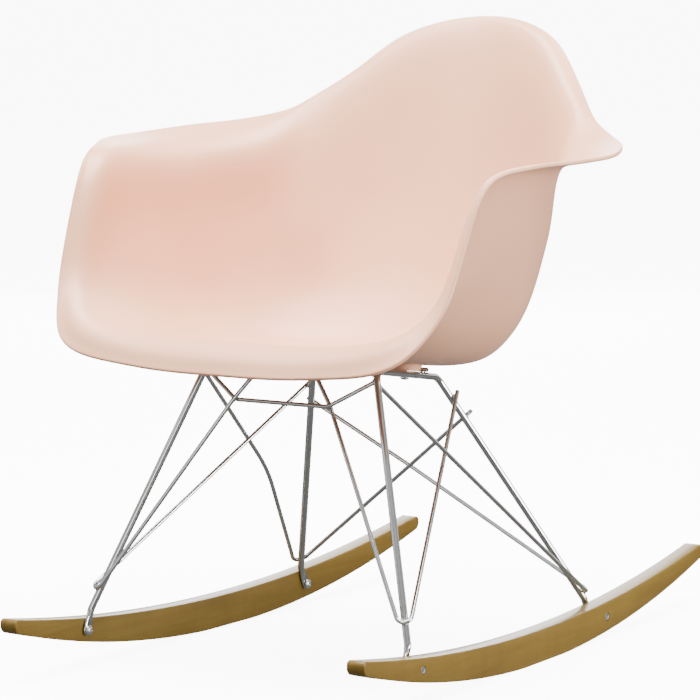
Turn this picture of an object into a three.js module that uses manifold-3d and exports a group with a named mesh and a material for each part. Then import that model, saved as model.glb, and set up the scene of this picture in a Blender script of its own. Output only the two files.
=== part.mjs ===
// A rocking armchair: one moulded shell on a welded rod frame, which stands on two wooden rockers.
// Millimetres. +Z is up, the sitter faces -Y, and +X is the sitter's left.
// The origin is on the floor, on the middle plane, below the lowest point of the rockers.

import * as THREE from 'three';
import { mergeVertices } from 'three/addons/utils/BufferGeometryUtils.js';
import Module from 'manifold-3d';

const wasm = await Module();
wasm.setup();

// ---------------------------------------------------------------- driving dimensions

const GAP = 0.3; // between pieces that touch or are welded

// Rockers: each is a plank cut between two arcs, and the pair stands slightly wider at the front.
const ROCKER_HALF_LENGTH = 405;
const ROCKER_THICKNESS = 22;
const ROCKER_DEPTH = 37; // at the middle
const ROCKER_UNDER_RADIUS = 1478;
const ROCKER_TOP_RADIUS = 2401;
const ROCKER_TIP_ROUND = 9; // how far from its end a rocker starts to round off
const ROCKER_SPACING = 200; // middle plane to a rocker's inner face, at y = 0
const ROCKER_TOE = 0.0317; // how much wider for each millimetre forward
const ROCKER_STEPS = 25;
const ROCKER_FLAT = 48; // half the length of the stretch that stands on the floor

// Rod frame
const LEG_RADIUS = 4;
const BRACE_RADIUS = 2.5;
const LEG_BEND = 16;
const BRACE_BEND = 9;
const LONG_BEND = 300;
const BOW_BEND = 450;
const BOW_AT = 0.545; // share of the long arm, from its upper end
const FRONT_TOP = new THREE.Vector3(108.6, -174.5, 340); // where a front leg meets its top run
const REAR_TOP = new THREE.Vector3(82.6, -1.8, 311.5); // where a rear leg meets it
const FRONT_BOLT_Y = -279;
const REAR_BOLT_Y = 152.5;
const TAB_LENGTH = 24; // from the bolt up to the knee of the leg
const TAB_THICKNESS = 3.6;
const TAB_WIDTH = 12;
const FRONT_HAIRPIN_Z = 84;
const REAR_HAIRPIN_Z = 52;
const SIDE_BRACE_TOP_Z = 286; // where a front hairpin's long arm crosses the rear leg
const REAR_BRACE_TOP_Z = 263; // where a rear hairpin's cross arm meets the far rear leg
const CROSS_ARM_SPREAD = 2.8; // each cross arm bows this far off the other where they pass
const ARM_BOW = new THREE.Vector3(-13, 8, 10); // the right rear hairpin's long arm is not quite straight
const FRONT_BRACE_TOP_Z = 326; // where a rear hairpin's long arm crosses the front leg
const ROD_OVERRUN = 9; // how far a cut end stands past its weld
const DIP_ROD_END_Z = 330;
const DIP_CORNER = new THREE.Vector3(60, -197, 300); // lower corner of the front dip rod
const FRONT_CROSS_AT = 0.12; // place of the cross rods along the top run, 0 front to 1 rear
const REAR_CROSS_AT = 0.76;
const CROSS_OVERRUN = 6;
const INNER_ARM_BEND = new THREE.Vector3(36, -185, 335);

// Mounts of the shell: a lug under the top run, and a screw up into a moulded boss.
const MOUNTS_AT = { front: 0.24, rear: 0.62 }; // place along the top run, 0 front to 1 rear
const MOUNT_INSETS = { front: 20, rear: 12.5 }; // screw axis to rod axis
const LUG_TOP = 1.5; // below the axis of the run
const LUG_THICKNESS = 2.2;
const LUG_RADIUS = 8.5;
const SCREW_RADIUS = 2.5;
const SCREW_HEAD_RADIUS = 5.2;
const SCREW_HEAD_HEIGHT = 2.6;
const INSERT_RADIUS = 4.4;
const INSERT_LENGTH = 8;
const BOSS_FOOT_RADIUS = 17;
const BOSS_ROOT_RADIUS = 22;
const BOSS_HEIGHT = 12;

// Rocker fixings
const BOLT_RADIUS = 3;
const BOLT_HEAD_RADIUS = 5.6;
const BOLT_HEAD_HEIGHT = 3.2;
const BOLT_SHORT_OF_FACE = 6; // the bolt ends this far inside the rocker's outer face
const SLEEVE_RADIUS = 4.5;
const SLEEVE_LENGTH = 15;
const SLEEVE_END_WALL = 4.4;
const SOCKET_RADIUS = 2.1;
const SOCKET_DEPTH = 2.4;

// Shell: points of its middle surface, from the pan outwards to the rim, on the sitter's left half.
const SHELL_THICKNESS = 5;
const SHELL_CENTRE = [0, -90, 342.6];
const SHELL_STATIONS = [
  // pan edge, turn, wall, brow, rim
  [[0, -212, 363], [0, -258, 371], [0, -294, 373], [0, -314, 363], [0, -324, 347]], // front middle
  [[62, -207, 362], [88, -256, 372], [102, -292, 375], [109, -312, 365], [112, -322, 350]],
  [[112, -191, 360], [152, -235, 374], [184, -273, 387], [202, -297, 385], [212, -309, 367]],
  [[132, -170, 357], [179, -207, 381], [216, -241, 407], [234, -254, 424], [247, -266, 419]],
  [[142, -150, 354], [196, -176, 386], [230, -206, 437], [242, -225, 480], [255, -239, 478]],
  [[149, -128, 351], [205, -146, 391], [237, -170, 470], [247, -183, 549], [262, -196, 554]],
  [[151, -105, 348], [208, -115, 390], [240, -125, 475], [257, -136, 560], [284, -142, 567]],
  [[152, -80, 345], [209, -82, 386], [242, -82, 475], [260, -84, 556], [309, -85, 570]],
  [[151, -50, 341], [205, -44, 382], [232, -38, 473], [246, -28, 552], [312, -12, 571]],
  [[146, -22, 337], [188, -2, 380], [213, 17, 472], [225, 33, 556], [286, 54, 576]],
  [[132, 2, 334], [163, 36, 379], [184, 63, 472], [197, 87, 564], [239, 111, 582]],
  [[110, 20, 332], [136, 62, 378], [151, 93, 473], [182, 142, 600], [198, 150, 595]],
  [[82, 32, 331], [102, 82, 377], [119, 126, 475], [141, 180, 632], [154, 194, 630]],
  [[54, 38, 331], [68, 92, 376], [80, 145, 478], [97, 215, 671], [107, 229, 674]],
  [[27, 41, 331], [34, 97, 376], [41, 155, 480], [51, 238, 691], [56, 252, 694]],
  [[0, 42, 331], [0, 99, 376], [0, 158, 482], [0, 249, 696], [0, 264, 700]], // back middle
];
const SHELL_STEPS_BETWEEN_STATIONS = 2;
const SHELL_RINGS = 16;

// ---------------------------------------------------------------- finishes

const plastic = () => new THREE.MeshStandardMaterial({ color: 0xe8cfc4, roughness: 0.45, metalness: 0 });
const chrome = () => new THREE.MeshStandardMaterial({ color: 0xc9cbcd, roughness: 0.15, metalness: 1 });
const steel = () => new THREE.MeshStandardMaterial({ color: 0x9b9da0, roughness: 0.35, metalness: 1 });
const brass = () => new THREE.MeshStandardMaterial({ color: 0xb89a4a, roughness: 0.35, metalness: 1 });
const maple = () => new THREE.MeshStandardMaterial({ color: 0xb18b4e, roughness: 0.5, metalness: 0 });

// ---------------------------------------------------------------- helpers

const vec = (x, y, z) => new THREE.Vector3(x, y, z);
const mirrored = (point, side) => vec(point.x * side, point.y, point.z);
const along = (from, to, share) => from.clone().lerp(to, share);
const direction = (from, to) => to.clone().sub(from).normalize();

function toSolid(geometry) {
  const bare = geometry.index ? geometry.clone() : geometry;
  bare.deleteAttribute('normal');
  bare.deleteAttribute('uv');
  const merged = mergeVertices(bare, 1e-4);
  const mesh = new wasm.Mesh({
    numProp: 3,
    vertProperties: new Float32Array(merged.attributes.position.array),
    triVerts: new Uint32Array(merged.index.array),
  });
  return new wasm.Manifold(mesh);
}

function toGeometry(solid) {
  const mesh = solid.getMesh();
  const geometry = new THREE.BufferGeometry();
  geometry.setAttribute('position', new THREE.BufferAttribute(new Float32Array(mesh.vertProperties), 3));
  geometry.setIndex(new THREE.BufferAttribute(new Uint32Array(mesh.triVerts), 1));
  geometry.computeVertexNormals();
  return geometry;
}

// A path of straight lines with a round bend at each inner point. It has stations only where it turns.
class BentPath extends THREE.Curve {
  constructor(points, bendRadii, bendSteps = 5) {
    super();
    this.points = [points[0].clone()];
    this.tangents = [direction(points[0], points[1])];
    for (let i = 1; i < points.length - 1; i += 1) {
      const radius = Array.isArray(bendRadii) ? bendRadii[i - 1] : bendRadii;
      this.addBend(points[i - 1], points[i], points[i + 1], radius, bendSteps);
    }
    this.points.push(points.at(-1).clone());
    this.tangents.push(direction(points.at(-2), points.at(-1)));
  }

  addBend(before, corner, after, radius, steps) {
    const into = direction(before, corner);
    const out = direction(corner, after);
    const turn = into.angleTo(out);
    const start = corner.clone().addScaledVector(into, -radius * Math.tan(turn / 2));
    const inward = out.clone().addScaledVector(into, -into.dot(out)).normalize();
    for (let step = 0; step <= steps; step += 1) {
      const angle = (turn * step) / steps;
      const point = start.clone().addScaledVector(into, radius * Math.sin(angle));
      this.points.push(point.addScaledVector(inward, radius * (1 - Math.cos(angle))));
      const tangent = into.clone().multiplyScalar(Math.cos(angle));
      this.tangents.push(tangent.addScaledVector(inward, Math.sin(angle)));
    }
  }

  get steps() {
    return this.points.length - 1;
  }

  getPoint(share) {
    return this.points[Math.round(share * this.steps)].clone();
  }

  getPointAt(share) {
    return this.getPoint(share);
  }

  getTangentAt(share) {
    return this.tangents[Math.round(share * this.steps)].clone();
  }
}

function rodGeometry(points, radius, bendRadii, sides = 10) {
  const path = new BentPath(points, bendRadii);
  const section = new THREE.Shape();
  for (let side = 0; side < sides; side += 1) {
    const angle = (2 * Math.PI * side) / sides;
    const x = radius * Math.cos(angle);
    const y = radius * Math.sin(angle);
    if (side === 0) section.moveTo(x, y);
    else section.lineTo(x, y);
  }
  section.closePath();
  return new THREE.ExtrudeGeometry(section, { steps: path.steps, extrudePath: path, bevelEnabled: false });
}

// A solid of revolution: the profile is radius and height pairs, turned about `axis` from `base`.
function turned(profile, base, axis, sides = 16) {
  const points = profile.map(([radius, height]) => new THREE.Vector2(radius, height));
  const geometry = new THREE.LatheGeometry(points, sides);
  geometry.applyQuaternion(new THREE.Quaternion().setFromUnitVectors(vec(0, 1, 0), axis));
  geometry.translate(base.x, base.y, base.z);
  return toSolid(geometry);
}

const cylinder = (radius, length, base, axis, sides = 16) =>
  turned([[0, 0], [radius, 0], [radius, length], [0, length]], base, axis, sides);

const root = new THREE.Group();

function addPiece(name, solidOrGeometry, material) {
  const geometry = solidOrGeometry.isBufferGeometry ? solidOrGeometry : toGeometry(solidOrGeometry);
  const mesh = new THREE.Mesh(geometry, material);
  mesh.name = name;
  root.add(mesh);
}

// ---------------------------------------------------------------- places that pieces share

const rockerFaceX = (y) => ROCKER_SPACING - ROCKER_TOE * y;
const rise = (radius, y) => radius - Math.sqrt(radius ** 2 - y ** 2);
const flatRise = rise(ROCKER_UNDER_RADIUS, ROCKER_FLAT);
const underArc = (y) => Math.max(0, rise(ROCKER_UNDER_RADIUS, y) - flatRise);
const topArc = (y) => ROCKER_DEPTH + rise(ROCKER_TOP_RADIUS, y);
const rockerOutward = vec(1, ROCKER_TOE, 0).normalize();

// A bolt goes through the middle of the rocker's depth.
function boltPoint(y) {
  return vec(rockerFaceX(y), y, (underArc(y) + topArc(y)) / 2);
}

const frontBolt = boltPoint(FRONT_BOLT_Y);
const rearBolt = boltPoint(REAR_BOLT_Y);

function kneeOf(bolt, top) {
  const up = vec(0, top.y - bolt.y, top.z - bolt.z).normalize();
  const knee = bolt.clone().addScaledVector(up, TAB_LENGTH);
  knee.x = rockerFaceX(knee.y) - GAP - TAB_THICKNESS / 2;
  return knee;
}

const frontKnee = kneeOf(frontBolt, FRONT_TOP);
const rearKnee = kneeOf(rearBolt, REAR_TOP);
const atHeight = (knee, top, z) => along(knee, top, (z - knee.z) / (top.z - knee.z));
const seatUp = vec(0, REAR_TOP.y - FRONT_TOP.y, REAR_TOP.z - FRONT_TOP.z)
  .normalize()
  .cross(vec(-1, 0, 0))
  .normalize();

// ---------------------------------------------------------------- rockers

function rockerSolid() {
  const outline = new THREE.Shape();
  const reach = ROCKER_HALF_LENGTH - ROCKER_TIP_ROUND;
  outline.moveTo(-reach, underArc(reach));
  for (let step = 1; step <= ROCKER_STEPS; step += 1) {
    const y = -reach + (2 * reach * step) / ROCKER_STEPS;
    outline.lineTo(y, underArc(y));
  }
  const tipZ = (underArc(reach) + topArc(reach)) / 2 + 1;
  outline.quadraticCurveTo(ROCKER_HALF_LENGTH, tipZ - 5, ROCKER_HALF_LENGTH, tipZ);
  outline.quadraticCurveTo(ROCKER_HALF_LENGTH, tipZ + 6, reach, topArc(reach));
  for (let step = ROCKER_STEPS - 1; step >= 0; step -= 1) {
    const y = -reach + (2 * reach * step) / ROCKER_STEPS;
    outline.lineTo(y, topArc(y));
  }
  outline.quadraticCurveTo(-ROCKER_HALF_LENGTH, tipZ + 6, -ROCKER_HALF_LENGTH, tipZ);
  outline.quadraticCurveTo(-ROCKER_HALF_LENGTH, tipZ - 5, -reach, underArc(reach));
  const options = { depth: ROCKER_THICKNESS, bevelEnabled: false, curveSegments: 4 };
  const geometry = new THREE.ExtrudeGeometry(outline, options);
  // The outline's x becomes y, its y becomes z, and its depth becomes x.
  geometry.applyMatrix4(new THREE.Matrix4().makeBasis(vec(0, 1, 0), vec(0, 0, 1), vec(1, 0, 0)));
  geometry.rotateZ(Math.atan(ROCKER_TOE));
  geometry.translate(ROCKER_SPACING, 0, 0);
  return toSolid(geometry);
}

function rockerWithHoles() {
  let rocker = rockerSolid();
  for (const bolt of [frontBolt, rearBolt]) {
    const inner = bolt.clone().addScaledVector(rockerOutward, -2);
    const sleeveStart = bolt.clone().addScaledVector(rockerOutward, ROCKER_THICKNESS - SLEEVE_LENGTH - GAP);
    rocker = rocker.subtract(cylinder(BOLT_RADIUS + GAP, ROCKER_THICKNESS, inner, rockerOutward));
    rocker = rocker.subtract(cylinder(SLEEVE_RADIUS + GAP, SLEEVE_LENGTH + 2, sleeveStart, rockerOutward));
  }
  return rocker;
}

// ---------------------------------------------------------------- leg frames

function tabSolid(bolt, knee) {
  const up = vec(0, knee.y - bolt.y, knee.z - bolt.z).normalize();
  const across = up.clone().cross(rockerOutward).normalize();
  const outline = new THREE.Shape();
  outline.absarc(0, 0, TAB_WIDTH / 2, Math.PI, 2 * Math.PI, false);
  outline.lineTo(LEG_RADIUS, TAB_LENGTH + 1);
  outline.lineTo(-LEG_RADIUS, TAB_LENGTH + 1);
  outline.closePath();
  const options = { depth: TAB_THICKNESS, bevelEnabled: false, curveSegments: 8 };
  const geometry = new THREE.ExtrudeGeometry(outline, options);
  const outward = across.clone().cross(up).normalize();
  const basis = new THREE.Matrix4().makeBasis(across, up, outward);
  const start = bolt.clone().addScaledVector(outward, -GAP - TAB_THICKNESS);
  basis.setPosition(start);
  geometry.applyMatrix4(basis);
  return toSolid(geometry);
}

function legFrameSolid() {
  let frame = toSolid(rodGeometry([frontKnee, FRONT_TOP, REAR_TOP, rearKnee], LEG_RADIUS, LEG_BEND));
  for (const [bolt, knee] of [[frontBolt, frontKnee], [rearBolt, rearKnee]]) {
    frame = frame.add(tabSolid(bolt, knee));
    const inner = bolt.clone().addScaledVector(rockerOutward, -10);
    frame = frame.subtract(cylinder(BOLT_RADIUS + GAP, 14, inner, rockerOutward));
  }
  return frame;
}

// ---------------------------------------------------------------- hairpin braces

const WELD_OFFSET = LEG_RADIUS + BRACE_RADIUS + GAP;

// The bend of a hairpin: it goes round the outside of a leg, and its arms leave towards two points.
function hairpinCorners(onLeg, leg, firstEnd, secondEnd) {
  const first = direction(onLeg, firstEnd);
  const inward = first.clone().add(direction(onLeg, secondEnd));
  const outward = inward.clone().addScaledVector(leg, -inward.dot(leg)).normalize().negate();
  const sideways = leg.clone().cross(outward).normalize();
  if (sideways.dot(first) < 0) sideways.negate();
  const back = onLeg.clone().addScaledVector(outward, WELD_OFFSET);
  return [
    back.clone().addScaledVector(sideways, WELD_OFFSET),
    back.clone().addScaledVector(sideways, -WELD_OFFSET),
  ];
}

// Where a brace from `start` passes a leg beside its axis, on the side that `facing` gives.
function besideLeg(start, onLeg, legDirection, facing) {
  const brace = direction(start, onLeg);
  const offset = brace.clone().cross(legDirection).normalize();
  if (offset.dot(facing) < 0) offset.negate();
  const crossing = onLeg.clone().addScaledVector(offset, WELD_OFFSET);
  return crossing.addScaledVector(direction(start, crossing), ROD_OVERRUN);
}

// What a rod that butts against a leg is cut back to.
function legClearance(side) {
  const points = [frontKnee, FRONT_TOP, REAR_TOP, rearKnee].map((point) => mirrored(point, side));
  return toSolid(rodGeometry(points, LEG_RADIUS + GAP, LEG_BEND));
}

const frontLeg = direction(frontKnee, FRONT_TOP);
const rearLeg = direction(rearKnee, REAR_TOP);

function frontHairpin(side) {
  const onLeg = atHeight(frontKnee, FRONT_TOP, FRONT_HAIRPIN_Z);
  const onRearLeg = atHeight(rearKnee, REAR_TOP, SIDE_BRACE_TOP_Z);
  const longEnd = besideLeg(onLeg, onRearLeg, rearLeg, vec(1, 0, 0));
  // One inner arm passes behind the dip rod's corner, and the other in front of it.
  const pass = DIP_CORNER.clone().add(vec(0, side * (2 * BRACE_RADIUS + GAP + 0.4), 0));
  const bend = INNER_ARM_BEND.clone();
  const corners = hairpinCorners(onLeg, frontLeg, longEnd, pass);
  const cross = crossRodAxis(FRONT_CROSS_AT);
  const tail = vec(bend.x - 2, cross.y + ROD_OVERRUN, cross.z - 2 * BRACE_RADIUS - GAP - 0.6);
  const points = [longEnd, ...corners, pass, bend, tail];
  return rodGeometry(points.map((point) => mirrored(point, side)), BRACE_RADIUS, BRACE_BEND, 8);
}

function rearHairpin(side) {
  const onLeg = atHeight(rearKnee, REAR_TOP, REAR_HAIRPIN_Z);
  const longEnd = atHeight(frontKnee, FRONT_TOP, FRONT_BRACE_TOP_Z);
  const onFarLeg = mirrored(atHeight(rearKnee, REAR_TOP, REAR_BRACE_TOP_Z), -1);
  const crossEnd = besideLeg(onLeg, onFarLeg, mirrored(rearLeg, -1), vec(0, 1, 0));
  const corners = hairpinCorners(onLeg, rearLeg, longEnd, crossEnd);
  const crossArm = direction(corners[1], crossEnd);
  const apart = crossArm.clone().cross(mirrored(crossArm, -1)).normalize();
  const middle = along(corners[1], crossEnd, corners[1].x / (corners[1].x - crossEnd.x));
  middle.addScaledVector(apart, side * CROSS_ARM_SPREAD);
  const bow = along(longEnd, corners[0], BOW_AT);
  if (side < 0) bow.add(ARM_BOW);
  const points = [longEnd, bow, ...corners, middle, crossEnd];
  const bends = [BOW_BEND, BRACE_BEND, BRACE_BEND, LONG_BEND];
  const hairpin = toSolid(rodGeometry(points.map((point) => mirrored(point, side)), BRACE_RADIUS, bends, 8));
  return hairpin.subtract(legClearance(side));
}

// ---------------------------------------------------------------- rods across the frame

function crossRodAxis(share) {
  const onRun = along(FRONT_TOP, REAR_TOP, share);
  return onRun.addScaledVector(seatUp, WELD_OFFSET);
}

function crossRod(share) {
  const middle = crossRodAxis(share);
  const end = middle.clone().add(vec(CROSS_OVERRUN, 0, 0));
  return rodGeometry([mirrored(end, -1), end], BRACE_RADIUS, BRACE_BEND, 8);
}

function dipRod() {
  const end = atHeight(frontKnee, FRONT_TOP, DIP_ROD_END_Z);
  const points = [mirrored(end, -1), mirrored(DIP_CORNER, -1), DIP_CORNER, end];
  const rod = toSolid(rodGeometry(points, BRACE_RADIUS, 2 * BRACE_BEND, 8));
  return rod.subtract(legClearance(1)).subtract(legClearance(-1));
}

// ---------------------------------------------------------------- shell mounts

const mountPoints = [];
for (const [place, share] of Object.entries(MOUNTS_AT)) {
  for (const [hand, side] of [['left', 1], ['right', -1]]) {
    const onRun = along(FRONT_TOP, REAR_TOP, share);
    const inset = MOUNT_INSETS[place];
    const point = vec((onRun.x - inset) * side, onRun.y, onRun.z);
    mountPoints.push({ name: `${place}_${hand}`, point, side, inset });
  }
}

function lugSolid({ point, side, inset }) {
  const top = point.clone().addScaledVector(seatUp, -LUG_TOP);
  const base = top.clone().addScaledVector(seatUp, -LUG_THICKNESS);
  const eye = cylinder(LUG_RADIUS, LUG_THICKNESS, base, seatUp, 20);
  const arm = new THREE.BoxGeometry(inset, 2 * LUG_RADIUS - 3, LUG_THICKNESS);
  const forward = vec(1, 0, 0).cross(seatUp).negate();
  const basis = new THREE.Matrix4().makeBasis(vec(1, 0, 0), forward, seatUp);
  const centre = base.clone().addScaledVector(seatUp, LUG_THICKNESS / 2);
  centre.x += (side * inset) / 2;
  basis.setPosition(centre);
  arm.applyMatrix4(basis);
  const hole = cylinder(SCREW_RADIUS + GAP, 2 * LUG_THICKNESS, base.clone().addScaledVector(seatUp, -1), seatUp);
  return eye.add(toSolid(arm)).subtract(hole).subtract(legClearance(side));
}

function shellScrew({ point }) {
  const headTop = -LUG_TOP - LUG_THICKNESS - GAP;
  const base = point.clone().addScaledVector(seatUp, headTop - SCREW_HEAD_HEIGHT);
  const shankEnd = LEG_RADIUS + INSERT_LENGTH - (headTop - SCREW_HEAD_HEIGHT);
  const profile = [
    [0, 1.6],
    [1.7, 1.6],
    [1.7, 0],
    [SCREW_HEAD_RADIUS - 1.4, 0],
    [SCREW_HEAD_RADIUS, 1.4],
    [SCREW_HEAD_RADIUS, SCREW_HEAD_HEIGHT],
    [SCREW_RADIUS, SCREW_HEAD_HEIGHT],
    [SCREW_RADIUS, shankEnd],
    [0, shankEnd],
  ];
  return turned(profile, base, seatUp, 16);
}

function shellInsert({ point }) {
  const base = point.clone().addScaledVector(seatUp, LEG_RADIUS + 0.6);
  const profile = [
    [SCREW_RADIUS + GAP, 0],
    [INSERT_RADIUS, 0],
    [INSERT_RADIUS, INSERT_LENGTH],
    [SCREW_RADIUS + GAP, INSERT_LENGTH],
    [SCREW_RADIUS + GAP, 0],
  ];
  return turned(profile, base, seatUp, 16);
}

// ---------------------------------------------------------------- rocker fixings

const hexagon = (radius, length, base, axis) => cylinder(radius, length, base, axis, 6);

function rockerBolt(bolt) {
  const headBase = bolt.clone().addScaledVector(rockerOutward, -TAB_THICKNESS - 3 * GAP - BOLT_HEAD_HEIGHT);
  const length = BOLT_HEAD_HEIGHT + TAB_THICKNESS + 3 * GAP + ROCKER_THICKNESS - BOLT_SHORT_OF_FACE;
  const profile = [
    [0, 0],
    [BOLT_HEAD_RADIUS - 2, 0],
    [BOLT_HEAD_RADIUS - 0.6, 1],
    [BOLT_HEAD_RADIUS, BOLT_HEAD_HEIGHT],
    [BOLT_RADIUS, BOLT_HEAD_HEIGHT],
    [BOLT_RADIUS, length],
    [0, length],
  ];
  const socketBase = headBase.clone().addScaledVector(rockerOutward, -1);
  return turned(profile, headBase, rockerOutward, 16).subtract(
    hexagon(SOCKET_RADIUS, 1 + SOCKET_DEPTH - 0.4, socketBase, rockerOutward),
  );
}

function sleeveNut(bolt) {
  const start = bolt.clone().addScaledVector(rockerOutward, ROCKER_THICKNESS - SLEEVE_LENGTH);
  const below = start.clone().addScaledVector(rockerOutward, -1);
  const socketBase = start.clone().addScaledVector(rockerOutward, SLEEVE_LENGTH - SOCKET_DEPTH);
  return cylinder(SLEEVE_RADIUS, SLEEVE_LENGTH, start, rockerOutward)
    .subtract(cylinder(BOLT_RADIUS + GAP, SLEEVE_LENGTH - SLEEVE_END_WALL + 1, below, rockerOutward))
    .subtract(hexagon(SOCKET_RADIUS, SOCKET_DEPTH + 1, socketBase, rockerOutward));
}

// ---------------------------------------------------------------- shell

function shellCurves() {
  const rings = [];
  for (let ring = 0; ring < 5; ring += 1) {
    const left = SHELL_STATIONS.map((station) => vec(...station[ring]));
    const right = left.slice(1, -1).reverse().map((point) => mirrored(point, -1));
    rings.push(new THREE.CatmullRomCurve3([...left, ...right], true, 'centripetal'));
  }
  return rings;
}

// Points of the middle surface: one row for each ring, from the pan's middle to the rim.
function shellMiddleSurface() {
  const rings = shellCurves();
  const sectors = rings[0].points.length * SHELL_STEPS_BETWEEN_STATIONS;
  const rows = Array.from({ length: SHELL_RINGS }, () => []);
  for (let sector = 0; sector < sectors; sector += 1) {
    const share = sector / sectors;
    const knots = [vec(...SHELL_CENTRE), ...rings.map((ring) => ring.getPoint(share))];
    const opposite = rings[0].getPoint((share + 0.5) % 1);
    const profile = new THREE.CatmullRomCurve3([opposite, ...knots], false, 'centripetal');
    for (let row = 0; row < SHELL_RINGS; row += 1) {
      const fromCentre = 1 + (knots.length - 1) * ((row + 1) / SHELL_RINGS);
      rows[row].push(profile.getPoint(fromCentre / knots.length));
    }
  }
  return rows;
}

function shellNormals(rows) {
  const sectors = rows[0].length;
  return rows.map((row, r) =>
    row.map((point, s) => {
      const before = row[(s + sectors - 1) % sectors];
      const after = row[(s + 1) % sectors];
      const inner = r > 0 ? rows[r - 1][s] : vec(...SHELL_CENTRE);
      const outer = r < rows.length - 1 ? rows[r + 1][s] : point;
      const round = after.clone().sub(before);
      const outwards = outer.clone().sub(inner);
      return outwards.cross(round).normalize();
    }),
  );
}

function shellGeometry() {
  const rows = shellMiddleSurface();
  const normals = shellNormals(rows);
  const sectors = rows[0].length;
  const half = SHELL_THICKNESS / 2;
  const positions = [];
  const triangles = [];
  const put = (point) => positions.push(point.x, point.y, point.z) / 3 - 1;
  const layer = (offset) =>
    rows.map((row, r) => row.map((point, s) => put(point.clone().addScaledVector(normals[r][s], offset))));
  const upper = layer(half);
  const lower = layer(-half);
  const centreUp = seatUp.clone();
  const upperMiddle = put(vec(...SHELL_CENTRE).addScaledVector(centreUp, half));
  const lowerMiddle = put(vec(...SHELL_CENTRE).addScaledVector(centreUp, -half));
  const edge = rows.at(-1).map((point, s) => {
    const outwards = point.clone().sub(rows.at(-2)[s]).normalize();
    return put(point.clone().addScaledVector(outwards, half));
  });
  const quad = (a, b, c, d) => triangles.push(a, b, c, a, c, d);
  for (let s = 0; s < sectors; s += 1) {
    const next = (s + 1) % sectors;
    triangles.push(upperMiddle, upper[0][s], upper[0][next]);
    triangles.push(lowerMiddle, lower[0][next], lower[0][s]);
    for (let r = 1; r < rows.length; r += 1) {
      quad(upper[r - 1][s], upper[r][s], upper[r][next], upper[r - 1][next]);
      quad(lower[r - 1][s], lower[r - 1][next], lower[r][next], lower[r][s]);
    }
    const last = rows.length - 1;
    quad(upper[last][s], edge[s], edge[next], upper[last][next]);
    quad(edge[s], lower[last][s], lower[last][next], edge[next]);
  }
  const geometry = new THREE.BufferGeometry();
  geometry.setAttribute('position', new THREE.Float32BufferAttribute(positions, 3));
  geometry.setIndex(triangles);
  return geometry;
}

function shellSolid() {
  let shell = toSolid(shellGeometry());
  for (const { point } of mountPoints) {
    const foot = point.clone().addScaledVector(seatUp, LEG_RADIUS + GAP);
    const boss = [[0, 0], [BOSS_FOOT_RADIUS, 0], [BOSS_ROOT_RADIUS, BOSS_HEIGHT], [0, BOSS_HEIGHT]];
    const below = foot.clone().addScaledVector(seatUp, -1);
    shell = shell.add(turned(boss, foot, seatUp, 24));
    shell = shell.subtract(cylinder(INSERT_RADIUS + GAP, INSERT_LENGTH + 2, below, seatUp, 16));
  }
  return shell;
}

// ---------------------------------------------------------------- assembly

addPiece('seat_shell', shellSolid(), plastic());

for (const [hand, side] of [['left', 1], ['right', -1]]) {
  const place = (solid) => (side > 0 ? solid : solid.mirror([1, 0, 0]));
  addPiece(`rocker_${hand}`, place(rockerWithHoles()), maple());
  addPiece(`leg_frame_${hand}`, place(legFrameSolid()), chrome());
  addPiece(`front_hairpin_${hand}`, frontHairpin(side), chrome());
  addPiece(`rear_hairpin_${hand}`, rearHairpin(side), chrome());
  for (const [end, bolt] of [['front', frontBolt], ['rear', rearBolt]]) {
    addPiece(`rocker_bolt_${end}_${hand}`, place(rockerBolt(bolt)), steel());
    addPiece(`sleeve_nut_${end}_${hand}`, place(sleeveNut(bolt)), steel());
  }
}
addPiece('front_dip_rod', dipRod(), chrome());
addPiece('front_cross_rod', crossRod(FRONT_CROSS_AT), chrome());
addPiece('rear_cross_rod', crossRod(REAR_CROSS_AT), chrome());
for (const mount of mountPoints) {
  addPiece(`mount_lug_${mount.name}`, lugSolid(mount), chrome());
  addPiece(`shell_screw_${mount.name}`, shellScrew(mount), steel());
  addPiece(`shell_insert_${mount.name}`, shellInsert(mount), brass());
}

export default root;
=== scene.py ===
"""A rocking armchair: one moulded shell on a braced chrome rod frame, which stands on two maple rockers.

Metres. +Z is up, the sitter faces -Y and +X is the sitter's left, as in the frame that is loaded.
"""

import math

import bmesh
import bpy
from mathutils import Matrix, Vector, noise


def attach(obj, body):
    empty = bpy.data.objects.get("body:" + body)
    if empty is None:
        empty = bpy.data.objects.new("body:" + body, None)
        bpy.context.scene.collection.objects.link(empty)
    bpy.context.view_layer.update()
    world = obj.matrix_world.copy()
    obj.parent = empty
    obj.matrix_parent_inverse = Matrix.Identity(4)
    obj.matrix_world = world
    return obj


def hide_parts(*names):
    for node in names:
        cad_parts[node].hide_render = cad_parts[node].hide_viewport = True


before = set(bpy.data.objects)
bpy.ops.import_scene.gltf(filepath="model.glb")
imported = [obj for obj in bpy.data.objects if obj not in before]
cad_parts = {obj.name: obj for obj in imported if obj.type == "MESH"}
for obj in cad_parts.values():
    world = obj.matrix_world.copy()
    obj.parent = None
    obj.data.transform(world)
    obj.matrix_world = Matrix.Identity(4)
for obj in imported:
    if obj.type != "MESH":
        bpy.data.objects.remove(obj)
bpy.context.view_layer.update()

MM = 0.001
X = Vector((1, 0, 0))
Z = Vector((0, 0, 1))
SIDES = (("left", 1), ("right", -1))

# ------------------------------------------------------------------ driving dimensions, in millimetres

GAP = 0.3

ROCKER_HALF_LENGTH = 405
ROCKER_THICKNESS = 22
ROCKER_DEPTH = 37
ROCKER_UNDER_RADIUS = 1478
ROCKER_TOP_RADIUS = 2401
ROCKER_FLAT = 48
ROCKER_SPACING = 200
ROCKER_TOE = 0.0317
ROCKER_TIP_RADIUS = 6.5
ROCKER_RIM_BEVEL = 1.4
ROCKER_STEPS = 120

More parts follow.
